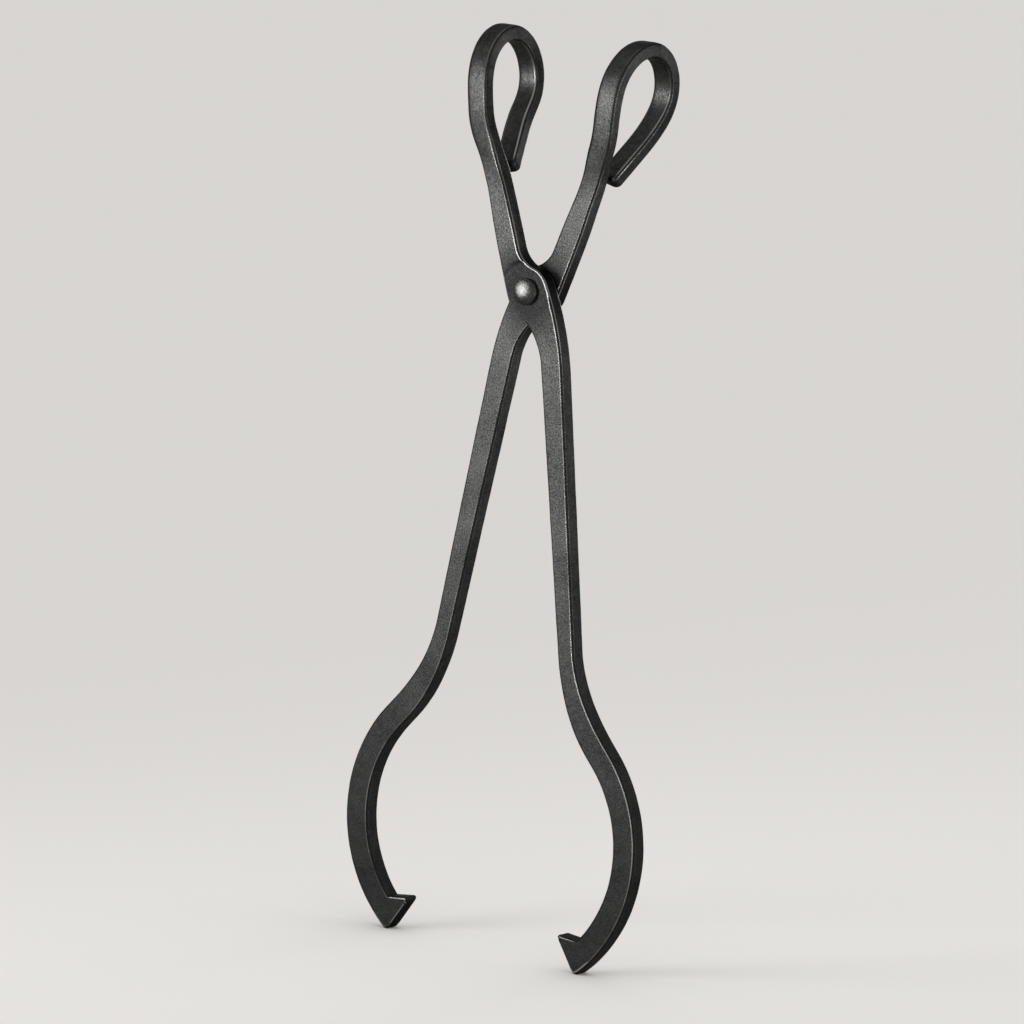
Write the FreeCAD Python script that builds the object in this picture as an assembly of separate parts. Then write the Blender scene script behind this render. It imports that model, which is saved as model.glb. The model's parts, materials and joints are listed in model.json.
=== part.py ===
import FreeCAD, Part
import math
import os

from FreeCAD import Vector

# Driving dimensions, in millimetres and degrees.
# Each arm is drawn round the pivot: X to the right, Z up, Y to the back, rein up to the left, jaw down to the right.

# Bar stock
bar_thickness = 11.8
edge_bevel = 1.3
arm_gap = 0.3

# Boss, the round eye that the rivet goes through
boss_radius = 14.7
seat_radius = 19.2
seat_depth = 0.6
upper_crotch_radius = 18.0
lower_crotch_radius = 43.5
outer_sweep_radius = 170.0

# Shank, from the boss down to the shoulder
shank_lean = 9.0
shank_offset = 14.9
neck_drop = 62.0
neck_width = 15.2
shoulder_drop = 217.0
shank_width = 12.0

# Jaw, an ogee out at the shoulder and a long curve back in
shoulder_radius = 112.0
shoulder_angle = 41.1
shoulder_run = 8.0
jaw_radius = 87.8
jaw_width = 16.2
jaw_turn = 92.7

# Barb at the tip of the jaw
barb_face = 28.5
barb_face_lean = 33.2
barb_rise = 7.0
tip_round = 2.6

# Rein, from the boss up to the throat of the handle
rein_lean = 19.0
rein_width = 14.9
throat_height = 64.5

# Handle loop, the thinned bar curled back on itself
loop_width = 12.3
loop_thickness = 10.0
loop_bevel = 2.0
loop_lean = 5.6
lean_change_height = 97.0
lean_change_radius = 60.0
throat_radius = 25.0
throat_bend = 18.3
front_leg_radius = 155.0
loop_radius = 29.4
back_radius = 18.4
back_bend = 40.4
thinning_run = 26.0
tail_gap = 1.6
tail_round = 4.0

# Rivet
rivet_diameter = 9.5
head_diameter = 16.2
head_height = 5.6
head_rim = 2.0
tail_head_diameter = 15.0
tail_head_height = 4.2
tight_clearance = 0.02
running_clearance = 0.06
tail_play = 0.25

# Drawing steps
trim_allowance = 4.0
cutter_reach = 32.0
match_tolerance = 0.001
station_spacing = 5.0
jaw_points = 9
shoulder_points = 6


def flat(x, z):
    """A point of the drawing plane of an arm."""
    return Vector(x, 0, z)


def down_the_lean(angle):
    """Direction of travel down a bar whose foot leans outwards by an angle."""
    return flat(math.sin(math.radians(angle)), -math.cos(math.radians(angle)))


def outer_side(angle):
    """Direction square to such a bar, to its outer side."""
    return flat(math.cos(math.radians(angle)), math.sin(math.radians(angle)))


def ease(value, start, end):
    """Smooth step from 0 at start to 1 at end."""
    share = min(max((value - start) / (end - start), 0.0), 1.0)
    return share * share * (3 - 2 * share)


def arc_about(centre, start, end):
    """Short arc from start to end about a centre."""
    radius = start.sub(centre).Length
    middle = start.sub(centre) + end.sub(centre)
    return Part.Arc(start, centre + middle.normalize() * radius, end).toShape()


def line_meets_circle(point, direction, centre, radius):
    """The crossing of a line and a circle that lies further along the line."""
    along = centre.sub(point).dot(direction)
    nearest = point + direction * along
    half = math.sqrt(radius ** 2 - nearest.sub(centre).Length ** 2)
    return nearest + direction * half


def round_to_boss(edge_point, away, outward, radius, inside):
    """Centre of a round that touches a straight edge and the boss.

    The edge runs away from the boss and outward points out of the bar. The round lies outside
    the bar and meets the boss from outside, or it holds the boss inside its own curve.
    """
    reach = edge_point.dot(outward)
    side = -1 if inside else 1
    across = reach + side * radius
    along = math.sqrt((radius + side * boss_radius) ** 2 - across ** 2)
    return outward * across + away * along


def boss_touch(centre, inside):
    """Point of the boss that such a round touches."""
    toward = Vector(centre).normalize() * boss_radius
    return toward * -1 if inside else toward


class Jaw:
    """Centreline of shank, shoulder and jaw: a straight run and two tangent arcs."""

    def __init__(self):
        self.top = outer_side(shank_lean) * shank_offset + down_the_lean(shank_lean) * neck_drop
        self.start = outer_side(shank_lean) * shank_offset + down_the_lean(shank_lean) * shoulder_drop
        self.bend_centre = self.start + outer_side(shank_lean) * shoulder_radius
        self.bend_end = self.bend_centre - outer_side(shoulder_angle) * shoulder_radius
        self.curve_start = self.bend_end + down_the_lean(shoulder_angle) * shoulder_run
        self.centre = self.curve_start - outer_side(shoulder_angle) * jaw_radius
        self.inner_radius = jaw_radius - jaw_width / 2
        self.outer_radius = jaw_radius + jaw_width / 2

    def side_of_shoulder(self, side):
        """Points of one edge round the shoulder, where the bar widens to the jaw."""
        points = []
        for step in range(shoulder_points):
            share = step / (shoulder_points - 1)
            angle = shank_lean + (shoulder_angle - shank_lean) * share
            half = (shank_width + (jaw_width - shank_width) * ease(share, 0, 1)) / 2
            points.append(self.bend_centre - outer_side(angle) * (shoulder_radius - side * half))
        return points

    def side_of_curve(self, side, last_angle):
        """Points of one edge along the jaw's curve, down to a last angle."""
        radius = self.outer_radius if side > 0 else self.inner_radius
        points = []
        for step in range(jaw_points):
            angle = shoulder_angle + (last_angle - shoulder_angle) * step / (jaw_points - 1)
            points.append(self.centre + outer_side(angle) * radius)
        return points

    def edge(self, side, end_point):
        """One edge of shoulder and jaw as a smooth curve, tangent to the straight shank above it."""
        spoke = end_point.sub(self.centre)
        last_angle = math.degrees(math.atan2(spoke.z, spoke.x))
        points = self.side_of_shoulder(side) + self.side_of_curve(side, last_angle)
        curve = Part.BSplineCurve()
        curve.interpolate(
            Points=points,
            InitialTangent=self.shank_edge(side)[1],
            FinalTangent=down_the_lean(last_angle),
        )
        return curve.toShape()

    def shank_edge(self, side):
        """Top point and downward direction of one straight edge of the shank."""
        top = self.top + outer_side(shank_lean) * side * neck_width / 2
        foot = self.start + outer_side(shank_lean) * side * shank_width / 2
        return top, foot.sub(top).normalize()


class Barb:
    """The cut end of the jaw, leaning back up to a point that faces the other arm."""

    def __init__(self, jaw):
        self.end_angle = shoulder_angle - jaw_turn
        self.heel = jaw.centre + outer_side(self.end_angle) * jaw.outer_radius
        lean = math.radians(barb_face_lean)
        self.face = flat(-math.sin(lean), math.cos(lean))
        self.inward = flat(math.cos(lean), math.sin(lean))
        self.point = self.heel + self.face * barb_face
        rise = math.radians(barb_rise)
        self.ledge = flat(math.cos(rise), -math.sin(rise))
        self.root = line_meets_circle(self.point, self.ledge, jaw.centre, jaw.inner_radius)
        # the heel's rounded corner touches the cut face and the outer curve from inside
        corner = self.heel + self.inward * tip_round
        self.round_centre = line_meets_circle(corner, self.face * -1, jaw.centre, jaw.outer_radius - tip_round)
        self.lowest = self.round_centre.z - tip_round
        # the blank reaches past the cut by a trimming allowance
        past_cut = self.heel - self.inward * trim_allowance
        self.blank_heel = line_meets_circle(past_cut, self.face * -1, jaw.centre, jaw.outer_radius)
        spare = self.ledge.dot(self.inward)
        self.blank_point = self.point - self.ledge * (trim_allowance / spare)

    def cutter(self, jaw):
        """Waste beyond the cut face and the rounded heel."""
        on_face = self.round_centre - self.inward * tip_round
        spoke = self.round_centre.sub(jaw.centre).normalize()
        on_curve = self.round_centre + spoke * tip_round
        top = self.point + self.face * trim_allowance
        below = on_curve + spoke * cutter_reach
        corners = [on_curve, below, below - self.inward * cutter_reach, top - self.inward * cutter_reach, top]
        edges = [Part.makeLine(top, on_face), arc_about(self.round_centre, on_face, on_curve)]
        for first, second in zip(corners, corners[1:]):
            edges.append(Part.makeLine(first, second))
        return slab(edges, bar_thickness + trim_allowance)


def slab(edges, thickness):
    """Solid of a closed outline in the drawing plane, centred on that plane."""
    face = Part.Face(Part.Wire(Part.__sortEdges__(edges)))
    solid = face.extrude(Vector(0, thickness, 0))
    solid.translate(Vector(0, -thickness / 2, 0))
    return solid


def boss_outline(jaw, barb):
    """Outline of the flat forging: boss, shank, jaw and the root of the rein."""
    rein_up = down_the_lean(rein_lean) * -1
    rein_right = outer_side(rein_lean)
    # the rein's outer edge runs straight off the boss, which sets where the rein lies
    rein_axis = rein_right * (rein_width / 2 - boss_radius)
    inner_edge = rein_axis + rein_right * (rein_width / 2)
    upper_centre = round_to_boss(inner_edge, rein_up, rein_right, upper_crotch_radius, False)
    upper_touch = upper_centre - rein_right * upper_crotch_radius
    rein_root = upper_touch.dot(rein_up) + edge_bevel
    inner_corner = inner_edge + rein_up * rein_root
    outer_corner = rein_right * -boss_radius + rein_up * rein_root

    outer_top, outer_down = jaw.shank_edge(1)
    outward = flat(-outer_down.z, outer_down.x)
    sweep_centre = round_to_boss(outer_top, outer_down, outward, outer_sweep_radius, True)
    sweep_touch = sweep_centre + outward * outer_sweep_radius
    inner_top, inner_down = jaw.shank_edge(-1)
    inward = flat(inner_down.z, -inner_down.x)
    lower_centre = round_to_boss(inner_top, inner_down, inward, lower_crotch_radius, False)
    lower_touch = lower_centre - inward * lower_crotch_radius

    upper_boss = boss_touch(upper_centre, False)
    outer_boss = boss_touch(sweep_centre, True)
    lower_boss = boss_touch(lower_centre, False)
    rein_boss = rein_right * -boss_radius
    outer_edge = jaw.edge(1, barb.blank_heel)
    inner_jaw_edge = jaw.edge(-1, barb.root)
    pivot = flat(0, 0)
    blank_end = Part.makeLine(barb.blank_heel, barb.blank_point)
    rein_end = Part.makeLine(outer_corner, inner_corner)
    edges = [
        Part.makeLine(inner_corner, upper_touch),
        arc_about(upper_centre, upper_touch, upper_boss),
        arc_about(pivot, upper_boss, outer_boss),
        arc_about(sweep_centre, outer_boss, sweep_touch),
        Part.makeLine(sweep_touch, outer_edge.valueAt(outer_edge.FirstParameter)),
        outer_edge,
        blank_end,
        Part.makeLine(barb.blank_point, barb.root),
        inner_jaw_edge,
        Part.makeLine(inner_jaw_edge.valueAt(inner_jaw_edge.FirstParameter), lower_touch),
        arc_about(lower_centre, lower_touch, lower_boss),
        arc_about(pivot, lower_boss, rein_boss),
        Part.makeLine(rein_boss, outer_corner),
        rein_end,
    ]
    return edges, [blank_end, rein_end]


def flat_forging(jaw, barb):
    """Boss, shank and jaw with bevelled edges, cut to the barb, and the middle of the rein's root."""
    edges, unbevelled = boss_outline(jaw, barb)
    solid = slab(edges, bar_thickness)
    square_ends = [edge.CenterOfMass for edge in unbevelled]
    bevelled = []
    for edge in solid.Edges:
        centre = edge.CenterOfMass
        on_outline = abs(abs(centre.y) - bar_thickness / 2) < match_tolerance
        square = any(flat(centre.x, centre.z).sub(end).Length < match_tolerance for end in square_ends)
        if on_outline and not square:
            bevelled.append(edge)
    solid = solid.makeChamfer(edge_bevel, bevelled)
    rein_root = unbevelled[1].CenterOfMass
    return solid.cut(barb.cutter(jaw)), rein_root


class HandlePath:
    """Centreline of rein and loop: bends in the side view, with a lean to the left in the front view."""

    def __init__(self, start):
        self.start = start
        self.lower_slope = math.tan(math.radians(rein_lean))
        self.upper_slope = math.tan(math.radians(loop_lean))
        back = math.radians(back_bend)
        rein_run = throat_height - start.z
        self.stretches = [
            (rein_run, 0.0),
            (throat_radius, -throat_bend),
            (front_leg_radius, throat_bend),
            (loop_radius, 180.0),
            (back_radius, back_bend),
        ]
        # the tail stops short of the rein's back by its gap
        turned = self.walk()[-1]
        tail_y = bar_thickness / 2 + tail_gap + loop_thickness / 2 * math.cos(back)
        self.stretches.append(((turned[0] - tail_y) / math.sin(back), 0.0))
        self.thin_start = rein_run
        self.thin_end = rein_run + thinning_run

    def lean(self, height):
        """How far left of the rivet the bar's middle is at a height, and its slope there."""
        turn = math.radians(rein_lean - loop_lean)
        tangent = lean_change_radius * math.tan(turn / 2)
        corner = -self.start.x + self.lower_slope * (lean_change_height - self.start.z)
        low = lean_change_height - tangent * math.cos(math.radians(rein_lean))
        high = lean_change_height + tangent * math.cos(math.radians(loop_lean))
        if height <= low:
            return corner + self.lower_slope * (height - lean_change_height), self.lower_slope
        if height >= high:
            return corner + self.upper_slope * (height - lean_change_height), self.upper_slope
        centre_z = low + lean_change_radius * math.sin(math.radians(rein_lean))
        rise = centre_z - height
        run = math.sqrt(lean_change_radius ** 2 - rise ** 2)
        low_x = corner - tangent * math.sin(math.radians(rein_lean))
        centre_x = low_x - lean_change_radius * math.cos(math.radians(rein_lean))
        return centre_x + run, rise / run

    def walk(self):
        """Stations along the side view: back, height, heading from upright and length so far."""
        back, height, heading, length = 0.0, self.start.z, 0.0, 0.0
        stations = [(back, height, heading, length)]
        for size, turn in self.stretches:
            run = abs(math.radians(turn)) * size if turn else size
            steps = max(2, round(run / station_spacing))
            for _ in range(steps):
                step_turn = math.radians(turn) / steps
                chord = 2 * size * math.sin(abs(step_turn) / 2) if turn else run / steps
                back += chord * math.sin(heading + step_turn / 2)
                height += chord * math.cos(heading + step_turn / 2)
                heading += step_turn
                length += run / steps
                stations.append((back, height, heading, length))
        return stations

    def section(self, station):
        """Bevelled section of the bar, square to the centreline at a station."""
        back, height, heading, length = station
        left, slope = self.lean(height)
        travel = Vector(-slope * math.cos(heading), math.sin(heading), math.cos(heading)).normalize()
        across = (Vector(1, 0, 0) - travel * travel.x).normalize()
        through = travel.cross(across)
        width = rein_width + (loop_width - rein_width) * ease(length, 0, self.thin_start)
        thin = ease(length, self.thin_start, self.thin_end)
        thickness = bar_thickness + (loop_thickness - bar_thickness) * thin
        bevel = edge_bevel + (loop_bevel - edge_bevel) * thin
        half_w = width / 2
        half_t = thickness / 2
        corners = []
        for u, v in ((1, 1), (-1, 1), (-1, -1), (1, -1)):
            long_side = (u * (half_w - bevel), v * half_t)
            short_side = (u * half_w, v * (half_t - bevel))
            corners += [short_side, long_side] if u * v > 0 else [long_side, short_side]
        centre = Vector(-left, back, height)
        points = [centre + across * u + through * v for u, v in corners]
        return Part.makePolygon(points + points[:1])

    def tail_cutter(self):
        """Waste outside the rounded corner of the tail."""
        back, height, heading, _ = self.walk()[-1]
        travel = Vector(0, math.sin(heading), math.cos(heading))
        outside = Vector(0, -math.cos(heading), math.sin(heading))
        corner = Vector(0, back, height) + outside * (loop_thickness / 2)
        centre = corner - outside * tail_round - travel * tail_round
        on_side = corner - travel * tail_round
        on_end = corner - outside * tail_round
        past_end = travel * trim_allowance
        past_side = outside * trim_allowance
        outer = [on_end, on_end + past_end, corner + past_end + past_side, on_side + past_side, on_side]
        edges = [Part.makeLine(first, second) for first, second in zip(outer, outer[1:])]
        edges.append(arc_about(centre, on_side, on_end))
        face = Part.Face(Part.Wire(Part.__sortEdges__(edges)))
        reach = self.lean(height)[0] + loop_width
        return face.extrude(Vector(-reach, 0, 0))


def handle(start):
    """Rein and loop drawn from the root of the rein, with a rounded tail."""
    path = HandlePath(start)
    sections = [path.section(station) for station in path.walk()]
    bar = Part.makeLoft(sections, True, False)
    return bar.cut(path.tail_cutter()), path


def bored(arm, bore_radius, seat_side):
    """An arm with its rivet hole and the flattened seat round it on one face."""
    along = Vector(0, 1, 0)
    hole = Part.makeCylinder(bore_radius, bar_thickness * 2, Vector(0, -bar_thickness, 0), along)
    floor = bar_thickness / 2 - seat_depth
    seat = Part.makeCylinder(seat_radius, bar_thickness, Vector(0, floor * seat_side, 0), along * seat_side)
    return arm.cut(hole).cut(seat)


def dome(radius, height, rim):
    """Half profile of a domed head: its rim edge, then an arc up to the crown, as radius and height."""
    rise = height - rim
    sphere = (radius ** 2 + rise ** 2) / (2 * rise)
    half_angle = math.atan2(radius, sphere - rise) / 2
    middle = (sphere * math.sin(half_angle), rim + rise - sphere * (1 - math.cos(half_angle)))
    return (radius, rim), middle, (0.0, height)


def rivet(front_seat, rear_seat):
    """Rivet with a domed head in front and a lower, hammered tail head behind."""
    def at(radius, y):
        return Vector(radius, y, 0)
    shank = rivet_diameter / 2
    rim, middle, crown = dome(head_diameter / 2, head_height, head_rim)
    tail_rim, tail_middle, tail_crown = dome(tail_head_diameter / 2, tail_head_height, head_rim)
    head_points = [at(r, front_seat - h) for r, h in (rim, middle, crown)]
    tail_points = [at(r, rear_seat + h) for r, h in (tail_rim, tail_middle, tail_crown)]
    edges = [
        Part.Arc(head_points[2], head_points[1], head_points[0]).toShape(),
        Part.makeLine(head_points[0], at(head_diameter / 2, front_seat)),
        Part.makeLine(at(head_diameter / 2, front_seat), at(shank, front_seat)),
        Part.makeLine(at(shank, front_seat), at(shank, rear_seat)),
        Part.makeLine(at(shank, rear_seat), at(tail_head_diameter / 2, rear_seat)),
        Part.makeLine(at(tail_head_diameter / 2, rear_seat), tail_points[0]),
        Part.Arc(tail_points[0], tail_points[1], tail_points[2]).toShape(),
        Part.makeLine(tail_points[2], head_points[2]),
    ]
    face = Part.Face(Part.Wire(edges))
    return face.revolve(Vector(0, 0, 0), Vector(0, 1, 0), 360)


# Build one arm round the pivot, then its mirror image for the rear
jaw_line = Jaw()
barb_cut = Barb(jaw_line)
forging, rein_start_point = flat_forging(jaw_line, barb_cut)
handle_bar, handle_path = handle(rein_start_point)
blank_arm = forging.fuse(handle_bar).removeSplitter()
front_arm = bored(blank_arm, rivet_diameter / 2 + tight_clearance, -1)
mirrored_arm = blank_arm.mirror(Vector(0, 0, 0), Vector(1, 0, 0))
rear_arm = bored(mirrored_arm, rivet_diameter / 2 + running_clearance, 1)

# Place the parts: tips on the ground, and the depth of both loops centred on the origin
stack = (bar_thickness + arm_gap) / 2
loop_front = min(station[0] for station in handle_path.walk()) - loop_thickness / 2
loop_back = loop_front + loop_radius * 2 + loop_thickness
middle_y = -(loop_front + loop_back) / 2
pivot_height = -barb_cut.lowest
front_arm.translate(Vector(0, middle_y - stack, pivot_height))
rear_arm.translate(Vector(0, middle_y + stack, pivot_height))
seat_face = bar_thickness / 2 - seat_depth
pivot_rivet = rivet(-stack - seat_face, stack + seat_face + tail_play)
pivot_rivet.translate(Vector(0, middle_y, pivot_height))

os.makedirs("parts", exist_ok=True)
for name, shape in (("front_arm", front_arm), ("rear_arm", rear_arm), ("pivot_rivet", pivot_rivet)):
    solid = shape.Solids[0]
    print(name, "solids", len(shape.Solids), "valid", shape.isValid(), "volume", round(shape.Volume))
    solid.exportStep("parts/" + name + ".step")
print("pivot height", round(pivot_height, 2), "pivot depth", round(middle_y, 2))
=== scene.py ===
import json
import math

import bpy
from mathutils import Matrix, Vector, noise


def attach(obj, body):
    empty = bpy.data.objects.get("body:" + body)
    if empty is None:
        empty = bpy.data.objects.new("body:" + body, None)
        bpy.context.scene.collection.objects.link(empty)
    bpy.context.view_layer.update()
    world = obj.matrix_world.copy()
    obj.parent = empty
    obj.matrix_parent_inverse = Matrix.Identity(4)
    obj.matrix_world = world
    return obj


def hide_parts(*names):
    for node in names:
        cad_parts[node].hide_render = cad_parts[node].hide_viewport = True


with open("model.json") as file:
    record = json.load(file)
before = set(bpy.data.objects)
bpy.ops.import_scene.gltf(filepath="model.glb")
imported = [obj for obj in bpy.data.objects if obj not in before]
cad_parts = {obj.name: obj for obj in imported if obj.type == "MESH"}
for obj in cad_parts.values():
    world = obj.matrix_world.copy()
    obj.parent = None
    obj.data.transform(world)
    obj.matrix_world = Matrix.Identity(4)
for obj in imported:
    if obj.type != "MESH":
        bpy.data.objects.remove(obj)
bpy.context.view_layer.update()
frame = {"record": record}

# Front arm
# One bar of mild steel, forged by hand from the curled handle loop through the round eye to the jaw's barb.
# Its long edges are bevelled by the hammer, and its skin is blackened in the fire and rubbed with wax.
# The rivet goes through the eye and stays tight in it.

# Bar, in millimetres and degrees, drawn round the rivet with X to the right and Z up
bar_thickness = 11.8
edge_bevel = 1.3
edge_round = 0.65
arm_gap = 0.3

# Eye, and the flattened seat round the rivet
eye_radius = 14.7
seat_radius = 19.2
seat_depth = 0.6
seat_slope = 1.4
seat_run_out = 7.0
upper_crotch_radius = 18.0
lower_crotch_radius = 43.5
outer_sweep_radius = 170.0

# Shank, from the eye down to the shoulder
shank_lean = 9.0
shank_offset = 14.9
neck_drop = 62.0
neck_width = 15.2
shoulder_drop = 217.0
shank_width = 12.0

# Jaw, and the barb at its tip
shoulder_radius = 112.0
shoulder_angle = 41.1
shoulder_run = 8.0
jaw_radius = 87.8
jaw_width = 16.2
jaw_turn = 92.7
barb_face = 28.5
barb_face_lean = 33.2
barb_rise = 7.0
heel_round = 2.6
point_round = 1.4
barb_end_round = 0.9

# Rein, from the eye up to the throat, where the bar is waisted
rein_lean = 19.0
rein_width = 14.9
throat_height = 64.5
throat_waist = 1.4
waist_inward = 0.32
waist_start = 10.0
waist_hold = 10.0
waist_end = 28.0

# Handle loop, the thinned bar curled back on itself
loop_width = 14.1
loop_thickness = 10.0
loop_bevel = 1.5
loop_edge_round = 1.1
loop_crown = 0.9
crown_power = 4
loop_lean = 5.6
loop_inward = 0.8
loop_sidestep = 2.0
sidestep_start = 0.4
sidestep_end = 0.75
lean_change_height = 97.0
lean_change_radius = 60.0
throat_radius = 25.0
throat_bend = 18.3
front_leg_radius = 155.0
loop_radius = 29.2
loop_turn = 180.0
back_radius = 18.4
back_bend = 40.4
bend_ease = 9.0
thinning_run = 26.0
tail_gap = 1.6
tail_round = 4.0
tail_end_round = 4.0

# Rows of points along the bar, and points across its faces
row_spacing = 1.6
eye_row_spacing = 0.9
ledge_row_spacing = 0.8
round_spacing = 0.4
tail_row_spacing = 0.3
ease_parts = 6
walk_slack = 1e-6
face_points = 23
side_points = 7
bevel_points = 3
half_bevel_turn = 22.5
least_bevel = 0.1
border_fullness = 0.48
border_bevel_share = 0.6
border_side_share = 0.8

# Rings that close the two ends: the tail's insets in millimetres, and the rows and rings of the cut face's
# border as inset, sink and rub, where inset and sink are shares of its round and the rub is a light line of
# rubbed steel and painted highlight
tail_insets = (0.6, 0.4, 0.2)
border_rows = 3
border_step = 0.05
cut_border = ((0, 1, 0), (0.08, 0.62, 0.8), (0.3, 0.3, 1.2), (0.62, 0.08, 0.8))
cut_insets = (1, 1.3, 1.6)

# Unevenness left by the hammer: its depth, and how closely its broad and fine dents follow each other
dent_depth = 0.11
broad_dents = 0.045
fine_dents = 0.16
fine_dent_share = 0.6
dent_shift = 7.0

# Painted shade, darkening, and rubbed steel with painted highlight as shares, and where they set in and are
# full, in millimetres or shares of a length
# lines of rubbed steel and painted highlight along the bevel borders, with more painted highlight on the
# right-hand edges
border_rub_and_highlight = 0.7
front_arm_rub_and_highlight = 1.0
left_edge_rub_and_highlight = 0.4
tail_wear_start = 1.0
tail_wear_full = 9.0
cut_rub_share = 0.75
# the bevels between the bright lines are darkened with painted shade
bevel_painted_shade = 0.7
# the barb's cut face is darkened with painted shade
cut_face_painted_shade = 0.8
# the bar is darker round the rivet, out to this reach
darkening_reach = 38.0
# these shares weaken the lines of rubbed steel and painted highlight on the shank, the sides, the rein and
# the loop
shank_line_fade = 0.36
shank_line_fade_start = 22.0
shank_line_fade_full = 50.0
side_line_fade = 0.7
side_line_fade_run = 1.5
rein_line_fade = 0.4
rein_line_fade_start = 20.0
rein_line_fade_full = 60.0
loop_line_fade = 0.1
loop_line_fade_start = 95.0
loop_line_fade_full = 135.0
tail_rub_and_highlight = 0.7
# the tail's sides are darkened with painted shade where the tail tucks in behind the rein
tail_side_painted_shade = 0.85
tail_start = 0.62
tail_full = 0.8
jaw_rub_and_highlight = 0.3
jaw_rub_lead = 40.0
jaw_rub_fade = 320.0
jaw_rub_end = 360.0
barb_rub_and_highlight = 1.2
barb_rub_start = 0.5
barb_rub_full = 3.0
# the bar grows darker towards the jaws' tips, less on their sides
jaw_darkening = 0.5
jaw_side_darkening = 0.15
jaw_darkening_start = 130.0
jaw_darkening_full = 380.0

# Colours of the steel, its painted shade and darkening, and its rubbed edges with painted highlight, and
# the ranges of its grain, shade and darkening, rub and highlight, roughness and relief
skin_dark = (0.0092, 0.0092, 0.0093, 1)
skin_light = (0.051, 0.051, 0.0503, 1)
skin_dark_end = 0.1
skin_light_end = 0.85
# near black laid over the skin as painted shade and as darkening
darkening_black = (0.006, 0.006, 0.006, 1)
# bare steel of the rubbed edges, which also carries the painted highlight along them
bare_steel_and_highlight = (0.19, 0.19, 0.188, 1)
steel_edge_tint = (0.45, 0.45, 0.45, 1)
whole_range = (0.0, 1.0)
grain_range = (0.3, 0.7)
speckle_tones = (0.0, 0.45)
skin_tones = (0.0, 0.2)
cloud_tones = (0.0, 0.2)
darkening_clouds = (0.3, 0.6)
darkening_cover = (0.65, 0.9)
rub_clouds = (0.35, 0.6)
rub_cover = (0.7, 1.0)
rub_border = (0.25, 0.85)
speckle_roughness = (0.05, -0.05)
skin_roughness = (0.46, 0.52)
rub_smoothing = (0.0, 0.14)
speckle_relief = (0.0, 0.8)
skin_relief = (0.0, 0.2)
relief_strength = (0.3, 0.1)
relief_depth = 0.0004

# A millimetre in metres, and the rivet's centre in the shared frame
millimetre = 0.001
pivot = Vector(frame["record"]["behaviour"]["joints"][0]["pos_m"])


def down_the_lean(angle):
    """Direction down a bar whose foot leans outwards, in the front view."""
    return Vector((math.sin(math.radians(angle)), -math.cos(math.radians(angle))))


def across_the_lean(angle):
    """Direction square to such a bar, to its outer side."""
    return Vector((math.cos(math.radians(angle)), math.sin(math.radians(angle))))


def ease(value, start, end):
    """Smooth step from 0 at start to 1 at end."""
    share = min(max((value - start) / (end - start), 0.0), 1.0)
    return share * share * (3 - 2 * share)


def arc(centre, start, end, spacing):
    """Points of the short arc from start to end about a centre."""
    first = math.atan2(start.y - centre.y, start.x - centre.x)
    turn = math.atan2(end.y - centre.y, end.x - centre.x) - first
    turn = (turn + math.pi) % (2 * math.pi) - math.pi
    radius = (start - centre).length
    steps = max(2, math.ceil(abs(turn) * radius / spacing))
    points = []
    for step in range(steps + 1):
        angle = first + turn * step / steps
        points.append(centre + Vector((math.cos(angle), math.sin(angle))) * radius)
    return points


def round_to_eye(edge_point, away, outward, radius, inside):
    """Centre of a round that touches a straight edge and the eye, from outside or round the eye."""
    side = -1 if inside else 1
    over = edge_point.dot(outward) + side * radius
    along = math.sqrt((radius + side * eye_radius) ** 2 - over ** 2)
    return outward * over + away * along


def meets_circle(point, direction, centre, radius):
    """The crossing of a line and a circle that lies further along the line."""
    nearest = point + direction * (centre - point).dot(direction)
    half = math.sqrt(radius ** 2 - (nearest - centre).length ** 2)
    return nearest + direction * half


def crossing(edge, origin, direction):
    """Where an edge of the bar crosses the line through origin square to a direction."""
    for first, second in zip(edge, edge[1:]):
        before = (first - origin).dot(direction)
        after = (second - origin).dot(direction)
        if before <= 0 < after:
            return first.lerp(second, before / (before - after))
    return edge[-1]


def along_edge(edge, share):
    """Point at a share of the length of an edge."""
    lengths = [(second - first).length for first, second in zip(edge, edge[1:])]
    left = share * sum(lengths)
    for first, second, length in zip(edge, edge[1:], lengths):
        if left <= length:
            return first.lerp(second, left / length)
        left -= length
    return edge[-1]


def shank_edge(side):
    """Top point of one straight edge of the shank, and its foot at the shoulder."""
    out = across_the_lean(shank_lean)
    top = out * (shank_offset + side * neck_width / 2) + down_the_lean(shank_lean) * neck_drop
    foot = out * (shank_offset + side * shank_width / 2) + down_the_lean(shank_lean) * shoulder_drop
    return top, foot


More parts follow.
